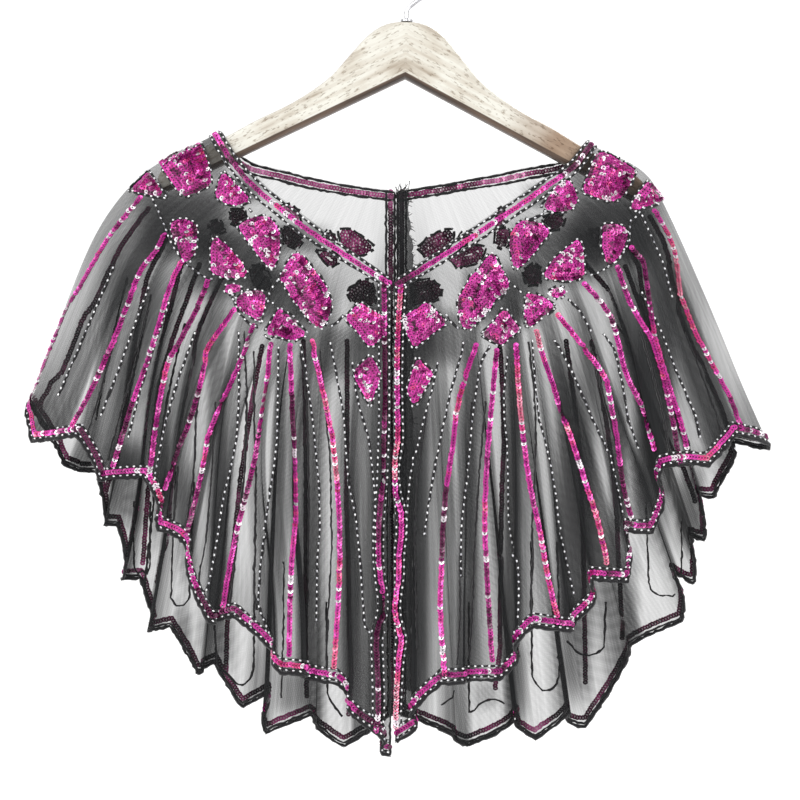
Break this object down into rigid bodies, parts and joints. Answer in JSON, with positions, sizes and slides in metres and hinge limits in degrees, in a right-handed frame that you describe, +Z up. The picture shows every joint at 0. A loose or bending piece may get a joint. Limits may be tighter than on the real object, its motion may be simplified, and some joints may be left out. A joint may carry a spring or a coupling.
{
  "type": "capelet on a wooden hanger",
  "caption": "Sheer embroidered capelet with an open front, a V neck and a saw-toothed hem in soft folds, hanging on a wooden hanger.",
  "frame": {"origin": "inside top of the hanger's hook, where it rests on a rail", "axes": "+Z up, -Y out of the garment's front, +X to the right as seen from the front"},
  "size_m": [0.6662, 0.1, 0.7226],
  "materials": {
    "tulle": "sheer black net with magenta sequins",
    "thread": "matt",
    "sequin": "magenta, glossy",
    "bead": "silver-lined glass",
    "wood": "pale worn varnish",
    "steel": "bright"
  },
  "bodies": {
    "root": {"half_left": "tulle", "half_right": "tulle", "back_seam_allowance": "thread", "neck_thread_bar": "thread", "hanger_wood": "wood", "hanger_hook": "steel", "hook_collar": "steel"}
  },
  "joints": []
}
